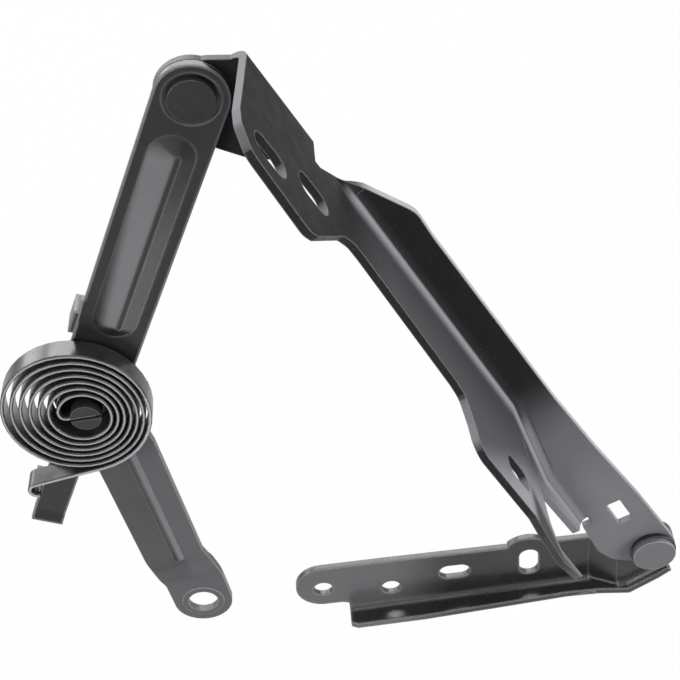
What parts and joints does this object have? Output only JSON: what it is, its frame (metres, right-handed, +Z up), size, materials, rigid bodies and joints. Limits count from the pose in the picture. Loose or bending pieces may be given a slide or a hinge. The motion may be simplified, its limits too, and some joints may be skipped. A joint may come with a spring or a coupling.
{
  "type": "car bonnet hinge",
  "caption": "Black pressed-steel car bonnet hinge: body rail, pivoting bonnet bracket and a folding two-arm check link with a flat spiral spring at its elbow.",
  "frame": {"origin": "middle of the rail's end bolt hole, at the rail's back face, where the rail is bolted to the car body", "axes": "+X along the rail towards the main pivot, +Z up, +Y into the car body, square to the rail's back face; every pivot axis is parallel to Y"},
  "size_m": [0.2759, 0.0741, 0.3105],
  "materials": {
    "rail_black": "satin black dip coat",
    "bracket_black": "satin black dip coat",
    "arm_black": "satin black dip coat",
    "arm_grey": "satin dark grey dip coat",
    "spring_black": "semi-gloss black",
    "pin_grey": "satin dark grey",
    "rivet_black": "satin black",
    "bush_dark": "dark oiled steel"
  },
  "bodies": {
    "rail": {"body_rail": "rail_black", "main_pivot_pin": "pin_grey", "main_middle_washer": "bush_dark"},
    "bracket": {"bonnet_bracket": "bracket_black", "main_pivot_bush": "bush_dark", "main_front_washer": "bush_dark", "link_rivet": "rivet_black", "link_washer": "bush_dark"},
    "upper_arm": {"upper_arm": "arm_black", "link_bush": "bush_dark", "elbow_bush": "bush_dark"},
    "lower_arm": {"lower_arm": "arm_grey", "elbow_pin": "rivet_black", "elbow_washer": "bush_dark", "spring_spacer": "bush_dark", "spiral_spring": "spring_black"}
  },
  "joints": [
    {"name": "main_pivot", "type": "hinge", "parent": "rail", "child": "bracket", "pos_m": [0.15, 0, 0.016], "axis": [0, -1, 0], "range_deg": [0, 54]},
    {"name": "link_pivot", "type": "hinge", "parent": "bracket", "child": "upper_arm", "pos_m": [-0.01517, 0, 0.27374], "axis": [0, 1, 0], "range_deg": [0, 25]},
    {"name": "elbow_pivot", "type": "hinge", "parent": "upper_arm", "child": "lower_arm", "pos_m": [-0.07764, 0, 0.14622], "axis": [0, -1, 0], "range_deg": [0, 78], "stiffness_Nm_per_rad": 0.7, "deforming": ["spiral_spring"]}
  ]
}
